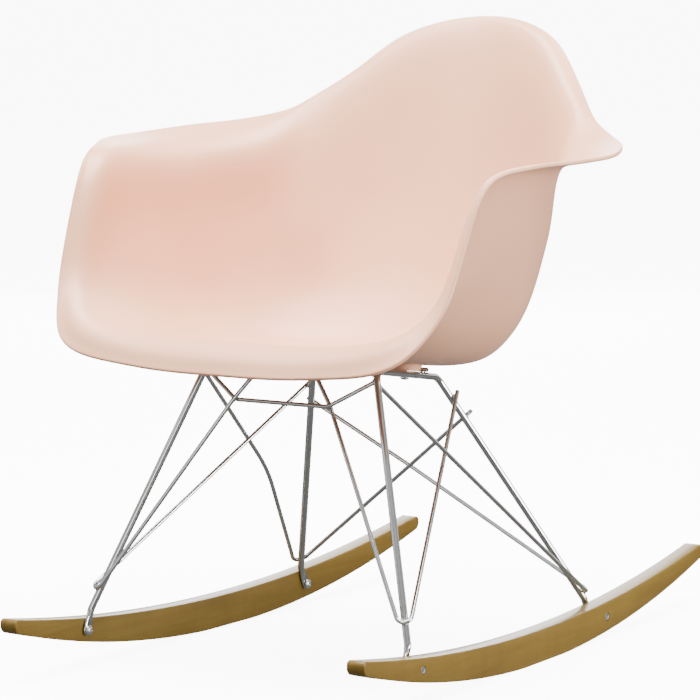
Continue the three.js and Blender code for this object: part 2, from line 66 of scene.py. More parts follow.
LEG_RADIUS = 4
BRACE_RADIUS = 2.5
LEG_BEND = 16
BRACE_BEND = 9
LONG_BEND = 300
BOW_BEND = 450
BOW_AT = 0.545
FRONT_TOP = Vector((108.6, -174.5, 340))
REAR_TOP = Vector((82.6, -1.8, 311.5))
FRONT_BOLT_Y = -279
REAR_BOLT_Y = 152.5
TAB_LENGTH = 24
TAB_THICKNESS = 3.6
TAB_WIDTH = 12
TAB_FLAT_TO = 8
TAB_ROUND_FROM = 21
TAB_SHAPED_TO = TAB_LENGTH + 10
TAB_SHAPED_WITHIN = 60
TAB_SQUARENESS = 1.25
KNEE_BEND = 12
FRONT_HAIRPIN_Z = 84
REAR_HAIRPIN_Z = 52
SIDE_BRACE_TOP_Z = 286
REAR_BRACE_TOP_Z = 263
CROSS_ARM_SPREAD = 2.8
ARM_BOW = Vector((-13, 8, 10))
FRONT_BRACE_TOP_Z = 326
ROD_OVERRUN = 9
ROD_BITE = 0.8
DIP_ROD_END_Z = 330
DIP_CORNER = Vector((60, -197, 300))
FRONT_CROSS_AT = 0.12
REAR_CROSS_AT = 0.76
CROSS_OVERRUN = 6
INNER_ARM_BEND = Vector((36, -185, 335))
WELD_OFFSET = LEG_RADIUS + BRACE_RADIUS + GAP
DIP_SLACK = 0.7
TAIL_SLACK = 0.9
WELD_BEAD_RADIUS = 2.6
WELD_BEAD_STRETCH = 1.7

MOUNTS_AT = {"front": 0.24, "rear": 0.62}
MOUNT_INSETS = {"front": 20, "rear": 12.5}
LUG_TOP = 1.5
LUG_THICKNESS = 2.2
LUG_RADIUS = 8.5
LUG_SHORT_OF_AXIS = 3.2
LUG_ARM_HALF_WIDTH = 6
LUG_TAPER = 0.18
LUG_WELD_SHORT_OF_AXIS = 4.5
SCREW_RADIUS = 2.5
SCREW_HEAD_RADIUS = 5.2
SCREW_HEAD_HEIGHT = 2.6
INSERT_LENGTH = 8
INSERT_HOLE_RADIUS = 4.8
BOSS_FOOT_RADIUS = 17
BOSS_ROOT_RADIUS = 22
BOSS_HEIGHT = 12

BOLT_HEAD_RADIUS = 5.6
BOLT_HEAD_HEIGHT = 3.2
SLEEVE_RADIUS = 4.5
SLEEVE_LENGTH = 15
CUT_PAST_FACE = 3
SOCKET_RADIUS = 2.1
SOCKET_DEPTH = 1.8
SCREW_SOCKET_RADIUS = 1.8
SLEEVE_SOCKET_DEPTH = 2.4
HEXAGON_SHARE = 0.94

# Shell: points of its middle surface, from the pan outwards to the rim, on the sitter's left half.
SHELL_THICKNESS = 5
SHELL_CENTRE = (0, -90, 342.6)
SHELL_STATIONS = (
    ((0, -212, 363), (0, -258, 371), (0, -294, 373), (0, -314, 363), (0, -324, 347)),  # front middle
    ((62, -207, 362), (88, -256, 372), (102, -292, 375), (109, -312, 365), (112, -322, 350)),
    ((112, -191, 360), (152, -235, 374), (184, -273, 387), (202, -297, 385), (212, -309, 367)),
    ((132, -170, 357), (179, -207, 381), (216, -241, 407), (234, -254, 424), (247, -266, 419)),
    ((142, -150, 354), (196, -176, 386), (230, -206, 437), (242, -225, 480), (255, -239, 478)),
    ((149, -128, 351), (205, -146, 391), (237, -170, 470), (247, -183, 549), (262, -196, 554)),
    ((151, -105, 348), (208, -115, 390), (240, -125, 475), (257, -136, 560), (284, -142, 567)),
    ((152, -80, 345), (209, -82, 386), (242, -82, 475), (260, -84, 556), (309, -85, 570)),
    ((151, -50, 341), (205, -44, 382), (232, -38, 473), (246, -28, 552), (312, -12, 571)),
    ((146, -22, 337), (188, -2, 380), (213, 17, 472), (225, 33, 556), (286, 54, 576)),
    ((132, 2, 334), (163, 36, 379), (184, 63, 472), (197, 87, 564), (239, 111, 582)),
    ((110, 20, 332), (136, 62, 378), (151, 93, 473), (182, 142, 600), (198, 150, 595)),
    ((82, 32, 331), (102, 82, 377), (119, 126, 475), (141, 180, 632), (154, 194, 630)),
    ((54, 38, 331), (68, 92, 376), (80, 145, 478), (97, 215, 671), (107, 229, 674)),
    ((27, 41, 331), (34, 97, 376), (41, 155, 480), (51, 238, 691), (56, 252, 694)),
    ((0, 42, 331), (0, 99, 376), (0, 158, 482), (0, 249, 696), (0, 264, 700)),  # back middle
)
SHELL_SECTORS = 120
SHELL_ROWS = 44
SHELL_SMOOTHING = 4
SHELL_RIM_BEVEL = 1.9

# ------------------------------------------------------------------ camera

CAMERA_PLACE = Vector((2.59815, -4.20258, 0.98265))
CAMERA_AZIMUTH = 0.55953
CAMERA_ELEVATION = 0.13003
CAMERA_ROLL = -0.00482
CAMERA_LENS = 225.72


def make_camera():
    data = bpy.data.cameras.new("camera")
    data.lens = CAMERA_LENS
    data.sensor_width = 36
    azimuth, elevation = CAMERA_AZIMUTH, CAMERA_ELEVATION
    level = math.cos(elevation)
    back = Vector((math.sin(azimuth) * level, -math.cos(azimuth) * level, math.sin(elevation)))
    right = Vector((math.cos(azimuth), math.sin(azimuth), 0))
    turn = Matrix((right, back.cross(right), back)).transposed().to_4x4()
    camera = bpy.data.objects.new("camera", data)
    camera.matrix_world = Matrix.Translation(CAMERA_PLACE) @ turn @ Matrix.Rotation(CAMERA_ROLL, 4, "Z")
    bpy.context.scene.collection.objects.link(camera)
    bpy.context.scene.camera = camera


make_camera()

# ------------------------------------------------------------------ finishes


class Field:
    """A socket in a finish. Arithmetic on it adds Math nodes."""

    def __init__(self, tree, socket=None):
        self.tree = tree
        self.socket = socket

    def node(self, kind, settings=None, inputs=None, out=0):
        """Adds a node: its settings come first, then the values or links of its sockets."""
        made = self.tree.nodes.new(kind)
        for name, value in (settings or {}).items():
            if name == "stops":
                self.set_stops(made.color_ramp.elements, value)
            else:
                setattr(made, name, value)
        for name, value in (inputs or {}).items():
            if isinstance(value, Field):
                self.tree.links.new(value.socket, made.inputs[name])
            else:
                made.inputs[name].default_value = value
        return Field(self.tree, made.outputs[out])

    @staticmethod
    def set_stops(elements, stops):
        (elements[0].position, elements[0].color) = stops[0]
        (elements[-1].position, elements[-1].color) = stops[-1]
        for place, colour in stops[1:-1]:
            elements.new(place).color = colour

    def calculate(self, operation, first, second):
        return self.node("ShaderNodeMath", {"operation": operation}, {0: first, 1: second})

    def __add__(self, other):
        return self.calculate("ADD", self, other)

    def __radd__(self, other):
        return self.calculate("ADD", other, self)

    def __sub__(self, other):
        return self.calculate("SUBTRACT", self, other)

    def __rsub__(self, other):
        return self.calculate("SUBTRACT", other, self)

    def __mul__(self, other):
        return self.calculate("MULTIPLY", self, other)

    def __rmul__(self, other):
        return self.calculate("MULTIPLY", other, self)

    def stretched(self, scale, turn=(0, 0, 0)):
        inputs = {"Vector": self, "Rotation": turn, "Scale": scale}
        return self.node("ShaderNodeMapping", None, inputs)

    def speckle(self, scale, detail=4.0, roughness=0.5, distortion=0.0):
        settings = {"Scale": scale, "Detail": detail, "Roughness": roughness, "Distortion": distortion}
        return self.node("ShaderNodeTexNoise", None, {"Vector": self, **settings})

    def colours(self, *stops):
        return self.node("ShaderNodeValToRGB", {"stops": stops}, {0: self})

    def blend(self, first, second):
        inputs = {"Factor": self, 6: first, 7: second}
        return self.node("ShaderNodeMix", {"data_type": "RGBA"}, inputs, out=2)

    def relief(self, strength, distance):
        inputs = {"Height": self, "Strength": strength, "Distance": distance}
        return self.node("ShaderNodeBump", None, inputs)


def finish(name, surface):
    """A material whose shader sockets are what surface(place) returns, place being Object coordinates."""
    material = bpy.data.materials.new(name)
    material.use_nodes = True
    tree = material.node_tree
    shader = tree.nodes["Principled BSDF"]
    place = Field(tree).node("ShaderNodeTexCoord", out="Object")
    for socket, value in surface(place).items():
        if isinstance(value, Field):
            tree.links.new(value.socket, shader.inputs[socket])
        else:
            shader.inputs[socket].default_value = value
    return material


def rose_plastic(place):
    cloud = place.speckle(9, 3)
    stipple = place.speckle(1500, 2)
    scuffs = place.stretched((60, 14, 30), turn=(0.3, 0.5, 0.2)).speckle(3, 6, 0.7)
    return {
        "Base Color": cloud.colours((0.3, (0.79, 0.395, 0.235, 1)), (0.7, (0.81, 0.415, 0.255, 1))),
        "Roughness": 0.36 + 0.06 * cloud + 0.08 * scuffs,
        "Normal": (stipple + 0.5 * scuffs).relief(0.12, 0.00012),
        "Coat Weight": 0.2,
        "Coat Roughness": 0.2,
        "IOR": 1.48,
    }


def bright_chrome(place):
    haze = place.speckle(60, 3)
    drawn = place.stretched((900, 900, 60)).speckle(1, 3)
    return {
        "Base Color": haze.colours((0.3, (0.50, 0.505, 0.50, 1)), (0.7, (0.58, 0.58, 0.57, 1))),
        "Metallic": 1.0,
        "Roughness": 0.07 + 0.08 * haze,
        "Normal": drawn.relief(0.1, 0.00005),
    }


def plated_steel(place):
    mottle = place.speckle(400, 4)
    return {
        "Base Color": mottle.colours((0.3, (0.50, 0.505, 0.52, 1)), (0.7, (0.62, 0.62, 0.62, 1))),
        "Metallic": 1.0,
        "Roughness": 0.22 + 0.18 * mottle,
        "Normal": mottle.relief(0.2, 0.00008),
    }


def turned_brass(place):
    rings = place.stretched((200, 200, 2500)).speckle(1, 2)
    return {
        "Base Color": rings.colours((0.3, (0.50, 0.34, 0.11, 1)), (0.7, (0.63, 0.45, 0.17, 1))),
        "Metallic": 1.0,
        "Roughness": 0.24 + 0.14 * rings,
        "Normal": rings.relief(0.25, 0.00006),
    }


def lacquered_maple(place):
    """Grain runs along the rocker: long cloudy figure, fine growth lines and short dark flecks."""
    figure = place.stretched((22, 3.2, 22)).speckle(1, 4, 0.55, 0.6)
    lines = place.stretched((150, 2.2, 150)).speckle(1, 5, 0.6, 0.8)
    flecks = place.stretched((900, 45, 900)).speckle(1, 2, 0.6)
    fleck_mask = flecks.colours((0.60, (0, 0, 0, 1)), (0.74, (1, 1, 1, 1)))
    curl = place.stretched((6, 46, 6), turn=(0.15, 0, 0.1)).speckle(1, 2, 0.5, 0.4)
    wood = (0.55 * figure + 0.3 * lines + 0.15 * curl).colours(
        (0.34, (0.120, 0.068, 0.006, 1)),
        (0.48, (0.145, 0.086, 0.009, 1)),
        (0.64, (0.172, 0.106, 0.014, 1)),
    )
    return {
        "Base Color": (0.2 * fleck_mask).blend(wood, (0.14, 0.07, 0.012, 1)),
        "Roughness": 0.42 + 0.14 * lines,
        "Normal": (lines - 0.4 * fleck_mask).relief(0.18, 0.00015),
        "Specular IOR Level": 0.2,
        "Coat Weight": 0.3,
        "Coat Roughness": 0.15,
    }


def pale_floor(place):
    """A pale, nearly even floor that glows of itself."""
    cloud = place.speckle(0.7, 3)
    return {
        "Base Color": cloud.colours((0.3, (0.86, 0.86, 0.86, 1)), (0.7, (0.88, 0.88, 0.88, 1))),
        "Roughness": 0.75 + 0.1 * cloud,
        "Emission Color": (1, 1, 1, 1),
        "Emission Strength": 9.0,
    }


ROSE = finish("rose_plastic", rose_plastic)
CHROME = finish("bright_chrome", bright_chrome)
STEEL = finish("plated_steel", plated_steel)
BRASS = finish("turned_brass", turned_brass)
MAPLE = finish("lacquered_maple", lacquered_maple)
FLOOR = finish("pale_floor", pale_floor)

# ------------------------------------------------------------------ helpers


def direction(start, end):
    return (end - start).normalized()


def mirrored(point, side):
    return Vector((point.x * side, point.y, point.z))


def closest_frame(axis, across=None):
    """A turn that takes +Z to axis, and +X as near to across as that allows."""
    across = across or (X if abs(axis.x) < 0.9 else Z)
    third = axis.cross(across).normalized()
    return Matrix((third.cross(axis), third, axis)).transposed().to_4x4()


def at(base, axis, across=None):
    return Matrix.Translation(base) @ closest_frame(axis, across)


def make_piece(name, mesh, material, slot, *nodes, smooth_angle=40):
    """Turns a bmesh that is drawn in millimetres into a piece of the chair."""
    bmesh.ops.remove_doubles(mesh, verts=mesh.verts, dist=0.002)
    bmesh.ops.scale(mesh, verts=mesh.verts, vec=(MM, MM, MM))
    bmesh.ops.recalc_face_normals(mesh, faces=mesh.faces)
    data = bpy.data.meshes.new(name)
    mesh.to_mesh(data)
    mesh.free()
    data.materials.append(material)
    data.shade_smooth()
    data.set_sharp_from_angle(angle=math.radians(smooth_angle))
    piece = bpy.data.objects.new(name, data)
    bpy.context.scene.collection.objects.link(piece)
    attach(piece, "root")
    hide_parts(*nodes)
    return piece


def finish_with(piece, kind, **settings):
    modifier = piece.modifiers.new(kind.lower(), kind)
    for name, value in settings.items():
        setattr(modifier, name, value)


def is_rim(edge):
    return edge.is_manifold and edge.calc_face_angle() > math.radians(60)


def turned(mesh, profile, steps):
    """Turns a profile of radius and height pairs once round the Z axis."""
    verts = [mesh.verts.new((radius, 0, height)) for radius, height in profile]
    edges = [mesh.edges.new(pair) for pair in zip(verts, verts[1:])]
    bmesh.ops.spin(
        mesh,
        geom=verts + edges,
        cent=(0, 0, 0),
        axis=(0, 0, 1),
        angle=2 * math.pi,
        steps=steps,
        use_merge=True,
    )
    bmesh.ops.remove_doubles(mesh, verts=mesh.verts, dist=0.001)


# ------------------------------------------------------------------ round rods


def bent_path(points, bends, steps=10):
    """Places and headings along straight lines that are joined by round bends."""
    stations = [(points[0], direction(points[0], points[1]))]
    for before, corner, after, radius in zip(points, points[1:], points[2:], bends):
        into = direction(before, corner)
        out = direction(corner, after)
        turn = into.angle(out)
        start = corner - into * radius * math.tan(turn / 2)
        inward = (out - into * into.dot(out)).normalized()
        for step in range(steps + 1):
            angle = turn * step / steps
            place = start + into * radius * math.sin(angle) + inward * radius * (1 - math.cos(angle))
            stations.append((place, into * math.cos(angle) + inward * math.sin(angle)))
    stations.append((points[-1], direction(points[-2], points[-1])))
    return stations


def sweep(mesh, stations, radius, sides=20, chamfer=0.5):
    """Draws a ring at the first station, then extrudes and turns it from station to station."""
    (start, heading), (end, last) = stations[0], stations[-1]
    stations = [(start, heading), (start + heading * chamfer, heading), *stations[1:-1]]
    stations += [(end - last * chamfer, last), (end, last)]
    place, axis = stations[0]
    ring = bmesh.ops.create_circle(
        mesh,
        cap_ends=True,
        segments=sides,
        radius=radius - chamfer,
        matrix=at(place, axis),
    )["verts"]
    edges = list({edge for vert in ring for edge in vert.link_edges})
    for index, (next_place, next_axis) in enumerate(stations[1:]):
        grown = bmesh.ops.extrude_edge_only(mesh, edges=edges)["geom"]
        ring = [part for part in grown if isinstance(part, bmesh.types.BMVert)]
        edges = [part for part in grown if isinstance(part, bmesh.types.BMEdge)]
        edges = [edge for edge in edges if all(vert in ring for vert in edge.verts)]
        turn = axis.rotation_difference(next_axis).to_matrix().to_4x4()
        move = Matrix.Translation(next_place) @ turn @ Matrix.Translation(-place)
        bmesh.ops.transform(mesh, verts=ring, matrix=move)
        place, axis = next_place, next_axis
        if index == 0:
            scale_about(mesh, ring, place, radius / (radius - chamfer))
        if index == len(stations) - 2:
            scale_about(mesh, ring, place, (radius - chamfer) / radius)
    bmesh.ops.edgeloop_fill(mesh, edges=edges)


def scale_about(mesh, verts, place, size):
    bmesh.ops.scale(mesh, verts=verts, vec=(size, size, size), space=Matrix.Translation(-place))


def make_brace(name, points, bends, node):
    mesh = bmesh.new()
    sweep(mesh, bent_path(points, bends), BRACE_RADIUS)
    make_piece(name, mesh, CHROME, "chrome_rod", node)


# ------------------------------------------------------------------ places that pieces share


def rocker_face_x(y):
    return ROCKER_SPACING - ROCKER_TOE * y


def rise(radius, y):
    return radius - math.sqrt(radius**2 - y**2)


def under_arc(y):
    return max(0, rise(ROCKER_UNDER_RADIUS, y) - rise(ROCKER_UNDER_RADIUS, ROCKER_FLAT))


def top_arc(y):
    return ROCKER_DEPTH + rise(ROCKER_TOP_RADIUS, y)


ROCKER_OUTWARD = Vector((1, ROCKER_TOE, 0)).normalized()


def bolt_point(y):
    return Vector((rocker_face_x(y), y, (under_arc(y) + top_arc(y)) / 2))


def knee_of(bolt, top):
    up = Vector((0, top.y - bolt.y, top.z - bolt.z)).normalized()
    knee = bolt + up * TAB_LENGTH
    knee.x = rocker_face_x(knee.y) - GAP - TAB_THICKNESS / 2
    return knee


def at_height(knee, top, z):
    return knee.lerp(top, (z - knee.z) / (top.z - knee.z))


FRONT_BOLT = bolt_point(FRONT_BOLT_Y)
REAR_BOLT = bolt_point(REAR_BOLT_Y)
FRONT_KNEE = knee_of(FRONT_BOLT, FRONT_TOP)
REAR_KNEE = knee_of(REAR_BOLT, REAR_TOP)
FRONT_LEG = direction(FRONT_KNEE, FRONT_TOP)
REAR_LEG = direction(REAR_KNEE, REAR_TOP)
RUN = REAR_TOP - FRONT_TOP
SEAT_UP = Vector((0, RUN.y, RUN.z)).normalized().cross(-X).normalized()

# ------------------------------------------------------------------ shell


def spline_point(points, place, closed):
    """A centripetal spline through the points; place counts them from the first."""
    count = len(points)
    index = math.floor(place) if closed else min(math.floor(place), count - 2)
    share = place - index

    def knot(offset):
        if closed:
            return points[(index + offset) % count]
        if index + offset < 0:
            return 2 * points[0] - points[1]
        if index + offset >= count:
            return 2 * points[-1] - points[-2]
        return points[index + offset]

    before, start, end, after = (knot(offset) for offset in (-1, 0, 1, 2))
    steps = [math.sqrt((b - a).length) for a, b in ((before, start), (start, end), (end, after))]
    lead, step, tail = (value if value > 0.01 else steps[1] for value in steps)
    leave = (start - before) / lead - (end - before) / (lead + step) + (end - start) / step
    arrive = (end - start) / step - (after - start) / (step + tail) + (after - end) / tail
    leave, arrive = leave * step, arrive * step
    square = (end - start) * 3 - leave * 2 - arrive
    cube = (start - end) * 2 + leave + arrive
    return start + leave * share + square * share**2 + cube * share**3


def shell_columns():
    """One list of points for each sector, from the pan's middle out to the rim."""
    rings = []
    for ring in range(len(SHELL_STATIONS[0])):
        left = [Vector(station[ring]) for station in SHELL_STATIONS]
        right = [mirrored(point, -1) for point in reversed(left[1:-1])]
        rings.append(left + right)
    count = len(rings[0])
    centre = Vector(SHELL_CENTRE)
    columns = []
    for sector in range(SHELL_SECTORS + 1):
        place = count * (sector % SHELL_SECTORS) / SHELL_SECTORS
        opposite = spline_point(rings[0], (place + count / 2) % count, True)
        knots = [opposite, centre] + [spline_point(ring, place, True) for ring in rings]
        spans = len(knots) - 2
        steps = [1 + spans * row / SHELL_ROWS for row in range(SHELL_ROWS + 1)]
        column = [spline_point(knots, step, False) for step in steps]
        column[-1] += direction(column[-2], column[-1]) * SHELL_THICKNESS / 2
        columns.append(column)
    return columns


def make_shell():
    """A grid laid round the columns; the modifiers give it its wall and its round rim."""
    mesh = bmesh.new()
    bmesh.ops.create_grid(mesh, x_segments=SHELL_SECTORS, y_segments=SHELL_ROWS, size=1)
    columns = shell_columns()
    for vert in mesh.verts:
        sector = round((vert.co.x + 1) / 2 * SHELL_SECTORS)
        row = round((vert.co.y + 1) / 2 * SHELL_ROWS)
        vert.co = columns[sector][row]
    bmesh.ops.remove_doubles(mesh, verts=mesh.verts, dist=0.01)
    inner = [vert for vert in mesh.verts if not vert.is_boundary]
    for _ in range(SHELL_SMOOTHING):
        bmesh.ops.smooth_vert(
            mesh,
            verts=inner,
            factor=0.5,
            use_axis_x=True,
            use_axis_y=True,
            use_axis_z=True,
        )
    shell = make_piece("shell_moulding", mesh, ROSE, "shell_plastic", "seat_shell", smooth_angle=180)
    finish_with(shell, "SOLIDIFY", thickness=SHELL_THICKNESS * MM, offset=0, use_even_offset=True)
    finish_with(
        shell,
        "BEVEL",
        width=SHELL_RIM_BEVEL * MM,
        segments=4,
        limit_method="ANGLE",
        angle_limit=math.radians(60),
    )
    finish_with(shell, "SUBSURF", levels=1, render_levels=1)


make_shell()

# ------------------------------------------------------------------ rockers


def drilled(piece, name, radius, depth, base, axis):
    """Cuts a round hole into a piece, from base along the axis."""
    mesh = bmesh.new()
    bmesh.ops.create_cone(
        mesh,
        cap_ends=True,
        segments=48,
        radius1=radius * MM,
        radius2=radius * MM,
        depth=depth * MM,
        matrix=at((base + axis * depth / 2) * MM, axis),
    )
    data = bpy.data.meshes.new(name)
    mesh.to_mesh(data)
    mesh.free()
    cutter = bpy.data.objects.new(name, data)
    bpy.context.scene.collection.objects.link(cutter)
    finish_with(piece, "BOOLEAN", object=cutter, operation="DIFFERENCE", solver="EXACT")
    return cutter


def settle(piece, cutters):
    """Applies a piece's modifiers and takes the cutters away."""
    graph = bpy.context.evaluated_depsgraph_get()
    carved = bpy.data.meshes.new_from_object(piece.evaluated_get(graph))
    piece.modifiers.clear()
    piece.data = carved
    for cutter in cutters:
        bpy.data.objects.remove(cutter)


def rounded_tip(share):
    """The place along a rocker for a share from -1 to 1, and how far its two edges draw in there."""
    plain = 0.9
    straight = ROCKER_HALF_LENGTH - ROCKER_TIP_RADIUS
    if abs(share) < plain:
        return straight * share / plain, 0
    angle = (abs(share) - plain) / (1 - plain) * math.pi / 2
    y = straight + ROCKER_TIP_RADIUS * math.sin(angle)
    return math.copysign(y, share), ROCKER_TIP_RADIUS * (1 - math.cos(angle))


def make_rocker(hand, side):
    """A strip between the two arcs, made thick, softened along its rims and bored for the sleeves."""
    mesh = bmesh.new()
    bmesh.ops.create_grid(mesh, x_segments=ROCKER_STEPS, y_segments=1, size=1)
    for vert in mesh.verts:
        y, inset = rounded_tip(vert.co.x)
        z = top_arc(y) - inset if vert.co.y > 0 else under_arc(y) + inset
        vert.co = (0, y, z)
    grown = bmesh.ops.extrude_face_region(mesh, geom=mesh.faces[:])["geom"]
    outer = [part for part in grown if isinstance(part, bmesh.types.BMVert)]
    bmesh.ops.translate(mesh, verts=outer, vec=(ROCKER_THICKNESS, 0, 0))
    bmesh.ops.recalc_face_normals(mesh, faces=mesh.faces)
    lengthwise = [edge for edge in mesh.edges if abs(edge.verts[0].co.x - edge.verts[1].co.x) < 1]
    bmesh.ops.bevel(
        mesh,
        geom=[edge for edge in lengthwise if is_rim(edge)],
        offset=ROCKER_RIM_BEVEL,
        segments=3,
        profile=0.5,
        affect="EDGES",
        material=-1,
    )
    turn = Matrix.Rotation(math.atan(ROCKER_TOE), 4, "Z")
    place = Matrix.Translation((ROCKER_SPACING, 0, 0)) @ turn
    bmesh.ops.transform(mesh, verts=mesh.verts, matrix=Matrix.Diagonal((side, 1, 1, 1)) @ place)
    rocker = make_piece(f"rocker_plank_{hand}", mesh, MAPLE, "maple", f"rocker_{hand}", smooth_angle=30)
    outward = mirrored(ROCKER_OUTWARD, side)
    cutters = []
    for end, bolt in (("front", FRONT_BOLT), ("rear", REAR_BOLT)):
        outer_face = mirrored(bolt + ROCKER_OUTWARD * ROCKER_THICKNESS, side)
        start = outer_face - outward * SLEEVE_LENGTH
        depth = SLEEVE_LENGTH + CUT_PAST_FACE
        cutter = drilled(rocker, f"cutter_{end}_{hand}", SLEEVE_RADIUS + GAP, depth, start, outward)
        cutters.append(cutter)
    settle(rocker, cutters)


for hand, side in SIDES:
    make_rocker(hand, side)

# ------------------------------------------------------------------ leg frames


def tab_axis(bolt, knee):
    """The middle of the tab at its bolt, and the way up from there to the knee."""
    up = Vector((0, knee.y - bolt.y, knee.z - bolt.z)).normalized()
    return bolt - ROCKER_OUTWARD * (GAP + TAB_THICKNESS / 2), up


def flatten_tab(mesh, bolt, knee):
    """Squeezes the end of a rod into a flat tab with a round end, which lies against the rocker."""
    middle, up = tab_axis(bolt, knee)
    across = up.cross(ROCKER_OUTWARD).normalized()
    half_width = TAB_WIDTH / 2
    half_thickness = TAB_THICKNESS / 2
    for vert in mesh.verts:
        offset = vert.co - middle
        height = offset.dot(up)
        if height > TAB_SHAPED_TO or offset.length > TAB_SHAPED_WITHIN:
            continue
        roundness = min(max((height - TAB_FLAT_TO) / (TAB_ROUND_FROM - TAB_FLAT_TO), 0), 1)
        roundness = roundness**2 * (3 - 2 * roundness)
        wide = 1 + (half_width / LEG_RADIUS - 1) * (1 - roundness)
        flat = 1 + (half_thickness / LEG_RADIUS - 1) * (1 - roundness)
        if height < 0:
            wide *= math.sqrt(max(1 - (height / half_width) ** 2, 0.02))
        side_step = offset.dot(across)
        through = offset.dot(ROCKER_OUTWARD)
        squared = max(min(through * flat * TAB_SQUARENESS, half_thickness), -half_thickness)
        through = squared + (through * flat - squared) * roundness
        vert.co = middle + up * height + across * side_step * wide + ROCKER_OUTWARD * through


def tab_stations(bolt, knee):
    """Close stations round the tab's lower end, and wider ones up towards the knee."""
    middle, up = tab_axis(bolt, knee)
    heights = (-6, -5.7, -5.2, -4.4, -3.2, -1.6, 0, 4, 8, 9.5, 11, 12.5, 14, 15.5, 17)
    return [(middle + up * height, up) for height in heights]


def make_leg_frame(hand, side):
    """One rod: up from the front bolt, back under the seat and down to the rear bolt."""
    mesh = bmesh.new()
    front = tab_stations(FRONT_BOLT, FRONT_KNEE)
    rear = [(place, -up) for place, up in reversed(tab_stations(REAR_BOLT, REAR_KNEE))]
    points = [front[-1][0], FRONT_KNEE, FRONT_TOP, REAR_TOP, REAR_KNEE, rear[0][0]]
    middle = bent_path(points, (KNEE_BEND, LEG_BEND, LEG_BEND, KNEE_BEND))[1:-1]
    sweep(mesh, front + middle + rear, LEG_RADIUS, sides=28, chamfer=0.1)
    flatten_tab(mesh, FRONT_BOLT, FRONT_KNEE)
    flatten_tab(mesh, REAR_BOLT, REAR_KNEE)
    bmesh.ops.transform(mesh, verts=mesh.verts, matrix=Matrix.Diagonal((side, 1, 1, 1)))
    make_piece(f"leg_rod_{hand}", mesh, CHROME, "chrome_rod", f"leg_frame_{hand}")


for hand, side in SIDES:
    make_leg_frame(hand, side)

# ------------------------------------------------------------------ hairpins and cross rods

welds = []  # place, long axis and size of each weld bead


def add_weld(place, axis, side=1, size=1.0):
    welds.append((mirrored(place, side), mirrored(axis, side), size))


def hairpin_corners(on_leg, leg, first_end, second_end):
    """The bend goes round the outside of a leg, and its arms leave towards two points."""
    first = direction(on_leg, first_end)
    inward = first + direction(on_leg, second_end)
    outward = -(inward - leg * inward.dot(leg)).normalized()
    sideways = leg.cross(outward).normalized()
    if sideways.dot(first) < 0:
        sideways = -sideways
    back = on_leg + outward * WELD_OFFSET
    return [back + sideways * WELD_OFFSET, back - sideways * WELD_OFFSET], outward


def beside_leg(start, on_leg, leg, facing):
    """Where a brace passes a leg beside its axis, with the offset from that axis."""
    offset = direction(start, on_leg).cross(leg).normalized()
    if offset.dot(facing) < 0:
        offset = -offset
    crossing = on_leg + offset * WELD_OFFSET
    return crossing + direction(start, crossing) * ROD_OVERRUN, offset


def cross_rod_axis(share):
    return FRONT_TOP.lerp(REAR_TOP, share) + SEAT_UP * WELD_OFFSET


def make_front_hairpin(hand, side):
    on_leg = at_height(FRONT_KNEE, FRONT_TOP, FRONT_HAIRPIN_Z)
    on_rear_leg = at_height(REAR_KNEE, REAR_TOP, SIDE_BRACE_TOP_Z)
    long_end, offset = beside_leg(on_leg, on_rear_leg, REAR_LEG, X)
    pass_place = DIP_CORNER + Vector((0, side * (2 * BRACE_RADIUS + DIP_SLACK), 0))
    corners, outward = hairpin_corners(on_leg, FRONT_LEG, long_end, pass_place)
    cross = cross_rod_axis(FRONT_CROSS_AT)
    tail_z = cross.z - 2 * BRACE_RADIUS - TAIL_SLACK
    tail = Vector((INNER_ARM_BEND.x - 2, cross.y + ROD_OVERRUN, tail_z))
    points = [long_end, *corners, pass_place, INNER_ARM_BEND, tail]
    points = [mirrored(point, side) for point in points]
    make_brace(f"front_brace_{hand}", points, [BRACE_BEND] * 4, f"front_hairpin_{hand}")
    add_weld(on_leg + outward * LEG_RADIUS, FRONT_LEG, side, 0.8)
    add_weld(on_rear_leg + offset * LEG_RADIUS, REAR_LEG, side)
    add_weld(DIP_CORNER.lerp(pass_place, 0.5), Z, side, 0.7)
    add_weld(Vector((tail.x, cross.y, cross.z - BRACE_RADIUS - GAP)), X, side, 0.7)


def make_rear_hairpin(hand, side):
    on_leg = at_height(REAR_KNEE, REAR_TOP, REAR_HAIRPIN_Z)
    long_end = at_height(FRONT_KNEE, FRONT_TOP, FRONT_BRACE_TOP_Z)
    on_far_leg = mirrored(at_height(REAR_KNEE, REAR_TOP, REAR_BRACE_TOP_Z), -1)
    far_leg = mirrored(REAR_LEG, -1)
    cross_end, offset = beside_leg(on_leg, on_far_leg, far_leg, Vector((0, 1, 0)))
    corners, outward = hairpin_corners(on_leg, REAR_LEG, long_end, cross_end)
    cross_arm = direction(corners[1], cross_end)
    apart = cross_arm.cross(mirrored(cross_arm, -1)).normalized()
    middle = corners[1].lerp(cross_end, corners[1].x / (corners[1].x - cross_end.x))
    middle += apart * side * CROSS_ARM_SPREAD
    bow = long_end.lerp(corners[0], BOW_AT)
    if side < 0:
        bow += ARM_BOW
    start = long_end + direction(long_end, bow) * (LEG_RADIUS - ROD_BITE)
    points = [mirrored(point, side) for point in (start, bow, *corners, middle, cross_end)]
    bends = (BOW_BEND, BRACE_BEND, BRACE_BEND, LONG_BEND)
    make_brace(f"rear_brace_{hand}", points, bends, f"rear_hairpin_{hand}")
    add_weld(on_leg + outward * LEG_RADIUS, REAR_LEG, side, 0.8)
    add_weld(on_far_leg + offset * LEG_RADIUS, far_leg, side)
    add_weld(start, FRONT_LEG, side)


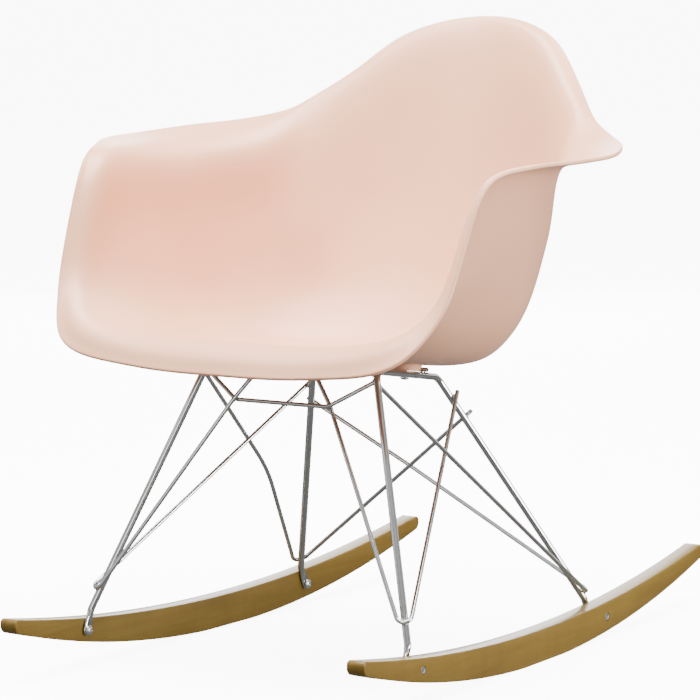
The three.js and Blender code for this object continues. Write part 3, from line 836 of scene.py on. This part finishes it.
def make_cross_rods():
    for name, share in (("front", FRONT_CROSS_AT), ("rear", REAR_CROSS_AT)):
        middle = cross_rod_axis(share)
        end = middle + X * CROSS_OVERRUN
        make_brace(f"{name}_cross_bar", [mirrored(end, -1), end], (), f"{name}_cross_rod")
        for _, side in SIDES:
            add_weld(middle - SEAT_UP * BRACE_RADIUS, RUN.normalized(), side)


def make_dip_rod():
    end = at_height(FRONT_KNEE, FRONT_TOP, DIP_ROD_END_Z)
    inside = end + direction(end, DIP_CORNER) * (LEG_RADIUS - ROD_BITE)
    points = [mirrored(inside, -1), mirrored(DIP_CORNER, -1), DIP_CORNER, inside]
    make_brace("front_dip_bar", points, [2 * BRACE_BEND] * 2, "front_dip_rod")
    for _, side in SIDES:
        add_weld(inside, FRONT_LEG, side)


for hand, side in SIDES:
    make_front_hairpin(hand, side)
    make_rear_hairpin(hand, side)
make_cross_rods()
make_dip_rod()

# ------------------------------------------------------------------ mounts of the shell


def mount_points():
    for place, share in MOUNTS_AT.items():
        on_run = FRONT_TOP.lerp(REAR_TOP, share)
        inset = MOUNT_INSETS[place]
        for hand, side in SIDES:
            yield f"{place}_{hand}", Vector(((on_run.x - inset) * side, on_run.y, on_run.z)), side, inset


def make_boss(name, point):
    """A tapered pad of the shell, with a soft root where it runs into the underside."""
    mesh = bmesh.new()
    hole, foot = INSERT_HOLE_RADIUS, BOSS_FOOT_RADIUS
    profile = [(hole, INSERT_LENGTH), (hole, 0.4), (hole + 0.4, 0)]
    profile += [(foot - 1.4, 0), (foot - 0.4, 0.5), (foot, 1.5), (foot + 1, 4.5), (foot + 2.5, 8.5)]
    profile += [(BOSS_ROOT_RADIUS, BOSS_HEIGHT), (0, BOSS_HEIGHT)]
    turned(mesh, profile, 64)
    foot_middle = point + SEAT_UP * (LEG_RADIUS + GAP)
    bmesh.ops.transform(mesh, verts=mesh.verts, matrix=at(foot_middle, SEAT_UP))
    make_piece(f"shell_boss_{name}", mesh, ROSE, "shell_plastic", "seat_shell")


def make_lug(name, point, side, inset):
    """A round eye below the boss, drawn out and slightly tapered towards the rod it is welded to."""
    mesh = bmesh.new()
    base = point - SEAT_UP * (LUG_TOP + LUG_THICKNESS)
    bmesh.ops.create_circle(mesh, cap_ends=True, segments=48, radius=LUG_RADIUS)
    for vert in mesh.verts:
        if vert.co.x * side > 0:
            reach = vert.co.x * side / LUG_RADIUS
            vert.co.x = side * reach * (inset - LUG_SHORT_OF_AXIS)
            vert.co.y *= 1 - LUG_TAPER * reach if abs(vert.co.y) > LUG_ARM_HALF_WIDTH else 1
    grown = bmesh.ops.extrude_face_region(mesh, geom=mesh.faces[:])["geom"]
    upper = [part for part in grown if isinstance(part, bmesh.types.BMVert)]
    bmesh.ops.translate(mesh, verts=upper, vec=(0, 0, LUG_THICKNESS))
    rims = [edge for edge in mesh.edges if is_rim(edge)]
    bmesh.ops.bevel(mesh, geom=rims, offset=0.5, segments=2, profile=0.5, affect="EDGES", material=-1)
    bmesh.ops.transform(mesh, verts=mesh.verts, matrix=at(base, SEAT_UP, X))
    make_piece(f"seat_lug_{name}", mesh, CHROME, "chrome_rod", f"mount_lug_{name}")
    weld_x = point.x + side * (inset - LUG_WELD_SHORT_OF_AXIS)
    add_weld(Vector((weld_x, point.y, base.z + LUG_THICKNESS)), RUN.normalized())


def hexagon_reach(angle):
    """How far a hexagon's edge is from its middle, as a share of its inscribed circle."""
    return 1 / math.cos((angle % (math.pi / 3)) - math.pi / 6)


def socket_headed(mesh, profile, socket, depth, base, axis):
    """A turned piece, drawn from its outer edge in to a six-sided socket in the face at its base."""
    inner = [(socket + 0.3, 0.0), (socket, 0.3), (socket, depth), (0, depth + 0.5)]
    turned(mesh, profile + inner, 48)
    for vert in mesh.verts:
        reach = vert.co.xy.length
        if 0.1 < reach < socket + 0.1:
            vert.co.xy *= hexagon_reach(math.atan2(vert.co.y, vert.co.x)) * HEXAGON_SHARE
    bmesh.ops.edgeloop_fill(mesh, edges=[edge for edge in mesh.edges if edge.is_boundary])
    bmesh.ops.transform(mesh, verts=mesh.verts, matrix=at(base, axis))


def button_head(mesh, radius, height, socket, base, axis):
    """A domed screw head, which faces against the axis."""
    crown = height - 0.4
    profile = [(radius - 0.3, height), (radius, height - 0.3), (radius, height - 0.6)]
    for share in (0.97, 0.9, 0.78, 0.62):
        profile.append((radius * share, crown * (1 - math.sqrt(1 - share**2))))
    socket_headed(mesh, profile, socket, SOCKET_DEPTH, base, axis)


def make_shell_screw(name, point):
    mesh = bmesh.new()
    base = point - SEAT_UP * (LUG_TOP + LUG_THICKNESS + GAP + SCREW_HEAD_HEIGHT)
    button_head(mesh, SCREW_HEAD_RADIUS, SCREW_HEAD_HEIGHT, SCREW_SOCKET_RADIUS, base, SEAT_UP)
    shank = base + SEAT_UP * SCREW_HEAD_HEIGHT
    end = shank + SEAT_UP * (LUG_TOP + LUG_THICKNESS + LEG_RADIUS + INSERT_LENGTH)
    sweep(mesh, [(shank, SEAT_UP), (end, SEAT_UP)], SCREW_RADIUS, 24)
    make_piece(f"seat_screw_{name}", mesh, STEEL, "steel_fastener", f"shell_screw_{name}")


for name, point, side, inset in mount_points():
    make_boss(name, point)
    make_lug(name, point, side, inset)
    make_shell_screw(name, point)

# ------------------------------------------------------------------ rocker fixings


def make_rocker_fixings(name, bolt, side):
    """A button-head bolt inside the tab, and a sleeve nut in the rocker's outer face."""
    bolt = mirrored(bolt, side)
    outward = mirrored(ROCKER_OUTWARD, side)
    mesh = bmesh.new()
    base = bolt - outward * (TAB_THICKNESS + 3 * GAP + BOLT_HEAD_HEIGHT)
    button_head(mesh, BOLT_HEAD_RADIUS, BOLT_HEAD_HEIGHT, SOCKET_RADIUS, base, outward)
    make_piece(f"button_bolt_{name}", mesh, STEEL, "steel_fastener", f"rocker_bolt_{name}")
    mesh = bmesh.new()
    face = bolt + outward * (ROCKER_THICKNESS - 0.1)
    edge = SLEEVE_RADIUS
    profile = [(edge - 0.4, SLEEVE_LENGTH), (edge, SLEEVE_LENGTH - 0.4), (edge, 0.5), (edge - 0.5, 0)]
    socket_headed(mesh, profile, SOCKET_RADIUS, SLEEVE_SOCKET_DEPTH, face, -outward)
    make_piece(f"sleeve_end_{name}", mesh, STEEL, "steel_fastener", f"sleeve_nut_{name}")


for hand, side in SIDES:
    make_rocker_fixings(f"front_{hand}", FRONT_BOLT, side)
    make_rocker_fixings(f"rear_{hand}", REAR_BOLT, side)

# ------------------------------------------------------------------ weld beads


def make_weld_beads():
    """Low uneven beads, drawn out along the axis of each weld."""
    for index, (place, axis, size) in enumerate(welds):
        mesh = bmesh.new()
        bmesh.ops.create_icosphere(mesh, subdivisions=3, radius=WELD_BEAD_RADIUS * size)
        for vert in mesh.verts:
            vert.co *= 1 + 0.12 * noise.noise(vert.co * 0.9 + Vector((index * 7.3, 0, 0)))
        bmesh.ops.scale(mesh, verts=mesh.verts, vec=(1, 1, WELD_BEAD_STRETCH))
        bmesh.ops.transform(mesh, verts=mesh.verts, matrix=at(place, axis))
        make_piece(f"weld_{index:02d}", mesh, CHROME, "chrome_rod", smooth_angle=180)


make_weld_beads()

# ------------------------------------------------------------------ CAD nodes that stay

for node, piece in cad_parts.items():
    if node.startswith("shell_insert"):
        piece.data.materials.clear()
        piece.data.materials.append(BRASS)

# ------------------------------------------------------------------ floor and lights


def make_floor():
    mesh = bmesh.new()
    bmesh.ops.create_grid(mesh, x_segments=1, y_segments=1, size=40)
    data = bpy.data.meshes.new("floor")
    mesh.to_mesh(data)
    mesh.free()
    data.materials.append(FLOOR)
    floor = bpy.data.objects.new("floor", data)
    bpy.context.scene.collection.objects.link(floor)
    floor.visible_diffuse = False
    floor.visible_glossy = False


def make_softbox(name, place, target, width, height, power):
    data = bpy.data.lights.new(name, "AREA")
    data.shape = "RECTANGLE"
    data.size = width
    data.size_y = height
    data.energy = power
    lamp = bpy.data.objects.new(name, data)
    axis = direction(Vector(place), Vector(target))
    lamp.matrix_world = Matrix.Translation(place) @ axis.to_track_quat("-Z", "Y").to_matrix().to_4x4()
    bpy.context.scene.collection.objects.link(lamp)


# Shades of the room from straight down, at 0, through level, at 0.5, to straight up, at 1.
ROOM_SHADES = (
    (0.0, (0.25, 0.25, 0.25, 1)),
    (0.36, (0.35, 0.35, 0.35, 1)),
    (0.45, (0.2, 0.2, 0.2, 1)),
    (0.51, (0.25, 0.25, 0.25, 1)),
    (0.55, (2.0, 2.0, 2.0, 1)),
    (0.62, (0.9, 0.9, 0.9, 1)),
    (0.75, (0.45, 0.45, 0.45, 1)),
    (1.0, (1.5, 1.5, 1.5, 1)),
)


def make_room():
    """A grey room: dim up to eye height, a pale band just above it, and light again overhead."""
    world = bpy.data.worlds.new("studio")
    world.use_nodes = True
    tree = world.node_tree
    heading = Field(tree).node("ShaderNodeTexCoord", out="Generated")
    height = heading.node("ShaderNodeSeparateXYZ", None, {0: heading}, out=2)
    shade = (0.5 + 0.5 * height).colours(*ROOM_SHADES)
    tree.links.new(shade.socket, tree.nodes["Background"].inputs["Color"])
    bpy.context.scene.world = world


make_floor()
make_room()
make_softbox("overhead", (0.0, -0.1, 3.0), (0, 0, 0.3), 2.6, 2.6, 400)
make_softbox("key", (-1.9, -2.6, 2.4), (0, 0, 0.4), 1.5, 1.5, 12)
make_softbox("side", (2.8, 0.4, 0.42), (0, 0, 0.4), 1.6, 0.7, 105)
make_softbox("strip", (0.9, -3.4, 0.35), (0, 0, 0.25), 1.2, 1.6, 14)
make_softbox("back", (-1.8, 2.8, 1.0), (0, 0, 0.4), 1.8, 1.4, 70)
